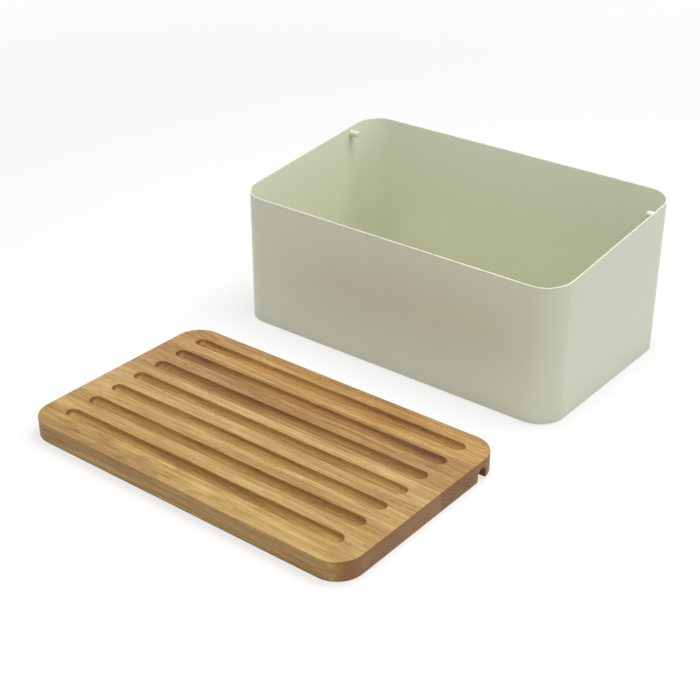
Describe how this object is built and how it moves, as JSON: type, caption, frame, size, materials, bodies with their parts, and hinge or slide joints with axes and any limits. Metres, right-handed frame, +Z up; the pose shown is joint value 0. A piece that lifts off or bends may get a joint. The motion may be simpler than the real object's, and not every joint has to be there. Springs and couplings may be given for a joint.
{
  "type": "bread box",
  "caption": "Powder-coated steel bread bin with a sloping rim and a fluted oak lid that hangs on pegs and doubles as a bread board, set out with the lid lying in front",
  "frame": {"origin": "on the worktop, at the centre of the rectangle that the bin and the set-down lid cover together", "axes": "+X to the right along the bin's length, +Y to the back, from the lid towards the bin, +Z up"},
  "size_m": [0.36, 0.498, 0.1571],
  "materials": {
    "sage_powder_coat": "matte powder coat, fine texture",
    "oiled_oak": "oiled, planed and sanded",
    "grey_rubber": "matte"
  },
  "bodies": {
    "bin": {"bin_wall": "sage_powder_coat", "base_pan": "sage_powder_coat", "pad_front_left": "grey_rubber", "pad_front_right": "grey_rubber", "pad_back_left": "grey_rubber", "pad_back_right": "grey_rubber"},
    "pegs": {"left_peg": "sage_powder_coat", "right_peg": "sage_powder_coat"},
    "lid": {"stave_front": "oiled_oak", "stave_second": "oiled_oak", "stave_middle": "oiled_oak", "stave_fourth": "oiled_oak", "stave_rear": "oiled_oak"}
  },
  "joints": [
    {"name": "peg_turn", "type": "hinge", "parent": "bin", "child": "pegs", "pos_m": [0, 0.21275, 0.14628], "axis": [1, 0, 0], "range_deg": [-232.99, 0]},
    {"name": "lid_carry", "type": "hinge", "parent": "pegs", "child": "lid", "pos_m": [0, 0.10927, 0.009], "axis": [1, 0, 0], "range_deg": [0, 232.99]}
  ],
  "couplings": [
    {"joint": "peg_turn", "follows": "lid_carry", "ratio": -1}
  ]
}
